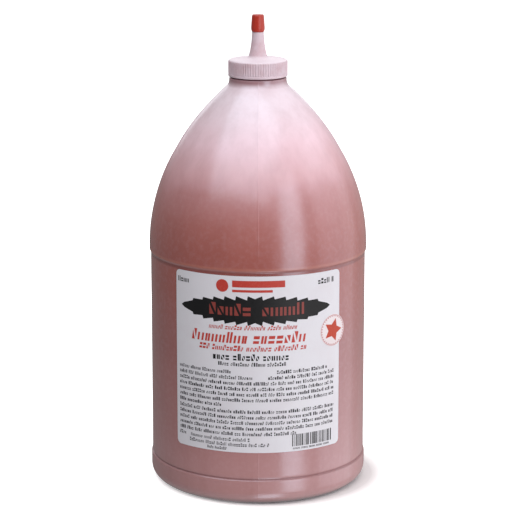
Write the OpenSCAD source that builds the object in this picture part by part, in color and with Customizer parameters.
// One-gallon jug of marking chalk powder with a screw-on spout cap.
// Frame: origin at the centre of the foot, +Z up, label towards -Y, handle towards +Y.

/* [Jug] */
// Largest diameter, at the belt below the dome
belt_d = 152.4; // [151:0.2:154]
// Diameter of the recessed label panel
panel_d = 150.5; // [149.3:0.2:150.9]
// Diameter of the bumper band above the foot
bumper_d = 152; // [151:0.2:153]
// Height of the belt, where the dome begins
belt_z = 168; // [166:1:170]
// Radius of the dome's lower arc
dome_r = 131.8; // [130.8:0.2:132.8]
// Angle at which the lower arc passes into the upper one
dome_turn = 25; // [24:0.5:26]
// Radius of the dome's upper arc
crown_r = 173; // [171:1:175]
// Wall thickness of the jug
wall = 1.1; // [0.9:0.1:1.6]
// Diameter of the collar under the cap
collar_d = 39.8; // [39:0.2:40.4]

/* [Handle] */
// Width of the hollow handle across the jug
grip_w = 24; // [20:1:28]
// Thickness of the handle, from its back to the finger gap
grip_t = 19.5; // [17:0.5:21]
// Depth of the finger gap between the handle and the jug
finger_gap = 28; // [26:1:29]

/* [Neck finish] */
// Outside diameter of the neck thread (38 mm finish)
thread_d = 37.2; // [37:0.1:37.4]
// Root diameter of the neck thread
root_d = 34.9; // [34.8:0.1:35.2]
// Thread pitch, six turns to the inch
pitch = 4.233; // [4.2:0.001:4.3]
// Bore of the neck
mouth_d = 31; // [30:0.5:31.5]
// Height of the neck finish above its shoulder
finish_h = 10.2; // [10:0.1:10.4]

/* [Cap] */
// Diameter over the cap's ribs
cap_d = 41.1; // [40.8:0.1:42]
// Number of ribs round the cap
rib_count = 72; // [48:4:96]
// Height of the spout's tip above the cap's bottom edge
spout_h = 40.1; // [39.5:0.1:40.5]
// Radius of the outlet in the spout
outlet_r = 1.6; // [1.5:0.1:1.7]

/* [Labels] */
// Half of the angle that the front label wraps
label_half_angle = 47.6; // [40:0.2:50]
// Height of the front label's bottom edge
label_z = 38.3; // [30:0.5:40]
// Height of the front label
label_h = 124; // [110:0.5:124]
// Diameter of the round sticker
sticker_d = 22.4; // [20:0.2:24]
// Angle of the sticker from the front, towards +X
sticker_angle = 42.8; // [38:0.2:44]
// Height of the sticker's centre
sticker_z = 120; // [100:1:130]

/* [Chalk] */
// Height of the powder at the jug's wall
chalk_z = 158; // [60:1:160]
// How far the powder's middle is heaped above its edge
chalk_crown = 5; // [3:1:6]

/* [Hidden] */
$fn = 96;

// Foot and side of the jug
heel_r = 9.5;
foot_recess_h = 4;
foot_recess_r = 52;
foot_slope_w = 5;
foot_skew = tan(atan(foot_recess_h / foot_slope_w) / 2);
bumper_top_z = 18.1;
bumper_step_h = 1.4;
belt_step_z = belt_z - 3.4;
belt_step_h = 1.6;
dome_steps = 14;

// Dome of two arcs, neck fillet and collar
dome_c = [belt_d / 2 - dome_r, belt_z];
crown_c = dome_c + (dome_r - crown_r) * [cos(dome_turn), sin(dome_turn)];
collar_r = collar_d / 2;
fillet_r = 5.6;
fillet_c = [collar_r + fillet_r,
            crown_c[1] + sqrt(pow(crown_r + fillet_r, 2) - pow(collar_r + fillet_r - crown_c[0], 2))];
crown_end = atan2(fillet_c[1] - crown_c[1], fillet_c[0] - crown_c[0]);
shoulder_z = fillet_c[1] + 1.8;
land_z = shoulder_z + finish_h;
neck_wall = (root_d - mouth_d) / 2;

// Handle and its pocket, about the centre of the handle's own arc in its plane
grip_arc_r = 147;
grip_c = [belt_d / 2 - 1.2 - grip_arc_r, belt_z - 2];
grip_skin = 0.6;
grip_corner_r = 8.5;
grip_path_r = grip_arc_r - grip_skin - grip_t / 2;
pocket_r = grip_arc_r - grip_skin - grip_t - finger_gap;
pocket_end_r = 13;
pocket_from = 10;
pocket_to = 36;
pocket_reach = 70;
scoop_r = 220;
scoop_path_r = pocket_r - 2 + scoop_r;
grip_from = -6;
grip_to = 47;

// Thread shape
thread_depth = (thread_d - root_d) / 2;
thread_turns = 1.15;
thread_steps = 36;
thread_base_w = 2.2;
thread_crest_w = 0.9;
thread_bury = 0.35;
thread_lead_in = 0.08;
thread_clearance = 0.3;
neck_thread_z = shoulder_z + 2.9;
cap_thread_angle = 135;

// Cap
cap_z = shoulder_z + 1;
cap_r = cap_d / 2;
cap_rib_h = 0.45;
cap_skirt_r = cap_r - cap_rib_h;
cap_band_h = 1.6;
cap_band_proud = 0.05;
cap_edge_z = cap_z + 11.3;
cap_edge_r = 1;
cap_top_rise = 1.3;
cap_inner_r = thread_d / 2 + thread_clearance;
liner_t = 1;
liner_gap = 0.05;
liner_r = 18.4;
liner_hole_r = 5.5;
ceiling_z = land_z + liner_t + 2 * liner_gap;

// Spout and its tip cap
spout_z = cap_z + spout_h;
spout_step_z = spout_z - 10;
spout_neck_r = 4.05;
spout_land_r = 3.5;
spout_end_r = 3;
tip_clearance = 0.12;
tip_z = spout_step_z + 0.2;
tip_top_z = spout_z + 2.1;
tip_plug_r = outlet_r - 0.1;
tip_plug_l = 2.6;

// Labels
label_t = 0.15;
label_corner_r = 3.5;
sticker_t = 0.13;
panel_r = panel_d / 2;
chalk_gap = 0.15;

function arc(c, r, from, to, steps) =
    [for (i = [0 : steps]) let (a = from + (to - from) * i / steps) c + r * [cos(a), sin(a)]];

// Half outline of the jug up to the collar, moved inwards by an inset
function side_outline(inset) = concat(
    [[0, foot_recess_h + inset],
     [foot_recess_r + foot_skew * inset, foot_recess_h + inset],
     [foot_recess_r + foot_slope_w + foot_skew * inset, inset]],
    arc([bumper_d / 2 - heel_r, heel_r], heel_r - inset, -90, 0, 8),
    [[bumper_d / 2 - inset, bumper_top_z],
     [panel_r - inset, bumper_top_z + bumper_step_h],
     [panel_r - inset, belt_step_z],
     [belt_d / 2 - inset, belt_step_z + belt_step_h]],
    arc(dome_c, dome_r - inset, 0, dome_turn, dome_steps),
    arc(crown_c, crown_r - inset, dome_turn + 1, crown_end, dome_steps - 1),
    arc(fillet_c, fillet_r + inset, 180 + crown_end, 180, 5));

// A closed strip of cross-sections joined into one solid
module swept(rings) {
    sides = len(rings[0]);
    last = len(rings) - 1;
    polyhedron(
        points = [for (ring = rings) each ring],
        faces = concat(
            [[for (j = [0 : sides - 1]) j]],
            [for (i = [0 : last - 1], j = [0 : sides - 1])
                let (k = (j + 1) % sides, a = i * sides, b = a + sides)
                each [[a + j, b + j, b + k], [a + j, b + k, a + k]]],
            [[for (j = [sides - 1 : -1 : 0]) last * sides + j]]));
}

// A single thread ridge on a wall of radius r, standing out by depth (inwards if negative)
module thread(r, depth, turns, z) {
    side = sign(depth);
    steps = ceil(thread_steps * turns);
    rings = [for (i = [0 : steps])
        let (t = turns * i / steps,
             rise = min(1, max(0.1, t / thread_lead_in), max(0.1, (turns - t) / thread_lead_in)),
             a = 360 * t,
             foot = r - side * thread_bury,
             crest = r + depth * rise,
             h = z + pitch * t)
        [for (p = [[foot, -thread_base_w / 2], [crest, -thread_crest_w / 2],
                   [crest, thread_crest_w / 2], [foot, thread_base_w / 2]])
            [p[0] * cos(a), p[0] * sin(a), h - side * p[1]]]];
    swept(rings);
}

// Turns a shape so that it revolves about the centre of the handle's arc
module about_grip_centre() {
    translate([0, grip_c[0], grip_c[1]])
    rotate([90, 0, 90])
    children();
}

module rounded_rect(w, h, r) {
    square([w - 2 * r, h], center = true);
    square([w, h - 2 * r], center = true);
    for (x = [-1, 1], y = [-1, 1])
        translate([x * (w / 2 - r), y * (h / 2 - r)])
        circle(r, $fn = 48);
}

// Side view of the handle pocket about the centre of the handle's arc, grown by an allowance
function pocket_outline(grow) =
    let (end_r = pocket_end_r + grow,
         first = (pocket_r + pocket_end_r) * [cos(pocket_from), sin(pocket_from)],
         last = (pocket_r + pocket_end_r) * [cos(pocket_to), sin(pocket_to)])
    concat(
        arc([0, 0], pocket_r - grow, pocket_to, pocket_from, 8),
        arc(first, end_r, pocket_from + 195, pocket_from + 270, 5),
        [first + pocket_reach * [cos(pocket_from), sin(pocket_from)]
            + end_r * [sin(pocket_from), -cos(pocket_from)],
         last + pocket_reach * [cos(pocket_to), sin(pocket_to)]
            + end_r * [-sin(pocket_to), cos(pocket_to)]],
        arc(last, end_r, pocket_to + 90, pocket_to + 165, 5));

module pocket(grow) {
    about_grip_centre()
    intersection() {
        linear_extrude(belt_d, center = true) polygon(pocket_outline(grow));
        rotate_extrude() translate([scoop_path_r, 0]) circle(scoop_r + grow);
    }
}

module grip(inset) {
    about_grip_centre()
    rotate_extrude(angle = grip_to - grip_from, start = grip_from)
    translate([grip_path_r, 0])
    rounded_rect(grip_t - 2 * inset, grip_w - 2 * inset, grip_corner_r - inset);
}

module jug_solid() {
    difference() {
        rotate_extrude()
        polygon(concat(side_outline(0),
            [[collar_r, shoulder_z], [root_d / 2, shoulder_z], [root_d / 2, land_z], [0, land_z]]));
        pocket(0);
    }
    grip(0);
    thread(root_d / 2, thread_depth, thread_turns, neck_thread_z);
}

module jug_cavity() {
    difference() {
        rotate_extrude()
        polygon(concat(side_outline(wall),
            [[collar_r - wall, shoulder_z - neck_wall - 1.4],
             [mouth_d / 2, shoulder_z - neck_wall + 0.6],
             [mouth_d / 2, land_z + 1],
             [0, land_z + 1]]));
        pocket(wall);
    }
    grip(wall);
}

module jug() {
    color([0.86, 0.66, 0.66])
    difference() {
        jug_solid();
        jug_cavity();
    }
}

module chalk_powder() {
    inset = wall + chalk_gap;
    edge_r = panel_r - inset;
    heap_r = (pow(edge_r, 2) + pow(chalk_crown, 2)) / (2 * chalk_crown);
    color([0.6, 0.18, 0.14])
    rotate_extrude()
    polygon(concat(
        [for (p = side_outline(inset)) if (p[1] < chalk_z && p[0] <= bumper_d / 2) p],
        arc([0, chalk_z + chalk_crown - heap_r], heap_r, acos(edge_r / heap_r), 90, 8)));
}

module panel_skin(inner_r, outer_r) {
    translate([0, 0, label_z - 1])
    difference() {
        cylinder(h = label_h + 2, r = outer_r, $fn = 180);
        translate([0, 0, -1]) cylinder(h = label_h + 4, r = inner_r, $fn = 180);
    }
}

module label_shape(outer_r) {
    intersection() {
        panel_skin(panel_r, outer_r);
        translate([0, 0, label_z + label_h / 2])
        rotate([90, 0, 0])
        linear_extrude(belt_d)
        rounded_rect(2 * panel_r * sin(label_half_angle), label_h, label_corner_r);
    }
}

module front_label() {
    color([0.93, 0.92, 0.94])
    label_shape(panel_r + label_t);
}

module round_sticker() {
    color([0.93, 0.9, 0.88])
    difference() {
        intersection() {
            panel_skin(panel_r, panel_r + label_t + sticker_t);
            translate([0, 0, sticker_z])
            rotate([90, 0, sticker_angle])
            cylinder(h = belt_d, d = sticker_d);
        }
        label_shape(panel_r + label_t);
    }
}

module cap_liner() {
    color([0.95, 0.95, 0.93])
    translate([0, 0, land_z + liner_gap])
    difference() {
        cylinder(h = liner_t, r = liner_r);
        translate([0, 0, -1]) cylinder(h = liner_t + 2, r = liner_hole_r);
    }
}

module cap_ribs() {
    step = 360 / rib_count;
    root_r = cap_skirt_r - 0.1;
    crest_r = cap_r - cap_band_proud;
    translate([0, 0, cap_z + cap_band_h / 2])
    linear_extrude(cap_edge_z - cap_edge_r - 0.1 - cap_z - cap_band_h / 2)
    polygon([for (i = [0 : rib_count - 1], p = [[0, root_r], [0.2, crest_r], [0.5, crest_r], [0.7, root_r]])
        p[1] * [cos((i + p[0]) * step), sin((i + p[0]) * step)]]);
}

module spout_cap() {
    color([0.9, 0.84, 0.88]) {
        difference() {
            union() {
                rotate_extrude()
                polygon(concat(
                    [[0, cap_z], [cap_r - 0.3, cap_z], [cap_r, cap_z + 0.3],
                     [cap_r, cap_z + cap_band_h], [cap_skirt_r, cap_z + cap_band_h]],
                    arc([cap_skirt_r - cap_edge_r, cap_edge_z - cap_edge_r], cap_edge_r, 0, 80, 4),
                    [[7.4, cap_edge_z + cap_top_rise], [6.3, cap_edge_z + 2.7],
                     [5.2, cap_edge_z + 7.2], [4.45, cap_edge_z + 12.6],
                     [spout_neck_r, spout_step_z], [spout_land_r, spout_step_z],
                     [spout_end_r, spout_z - 0.5], [spout_end_r - 0.5, spout_z], [0, spout_z]]));
                cap_ribs();
            }
            translate([0, 0, cap_z - 1]) cylinder(h = ceiling_z - cap_z + 1, r = cap_inner_r);
            rotate_extrude()
            polygon([[0, ceiling_z - 1], [4.6, ceiling_z - 1], [4.6, cap_edge_z + 2],
                     [3.2, cap_edge_z + 12.6], [2.5, spout_step_z + 2],
                     [outlet_r, spout_z - 3.5], [outlet_r, spout_z + 1], [0, spout_z + 1]]);
        }
        rotate([0, 0, cap_thread_angle])
        thread(cap_inner_r, -thread_depth, 1, neck_thread_z + pitch * (cap_thread_angle / 360 - 0.5));
    }
}

module tip_cap() {
    color([0.75, 0.22, 0.14]) {
        difference() {
            rotate_extrude()
            polygon([[0, tip_z], [4.1, tip_z], [4.5, tip_z + 0.9], [4.72, tip_z + 2.2],
                     [4.72, tip_z + 3.2], [4.2, tip_top_z - 1.2], [3.9, tip_top_z - 0.4],
                     [3.3, tip_top_z], [0, tip_top_z]]);
            rotate_extrude()
            polygon([[0, tip_z - 1], [spout_land_r + tip_clearance, tip_z - 1],
                     [spout_land_r + tip_clearance, tip_z],
                     [spout_end_r + tip_clearance, spout_z + 0.4], [0, spout_z + 0.4]]);
        }
        translate([0, 0, spout_z + 0.4 - tip_plug_l])
        cylinder(h = tip_plug_l + 0.5, r = tip_plug_r, $fn = 48);
    }
}

jug();
chalk_powder();
front_label();
round_sticker();
cap_liner();
spout_cap();
tip_cap();
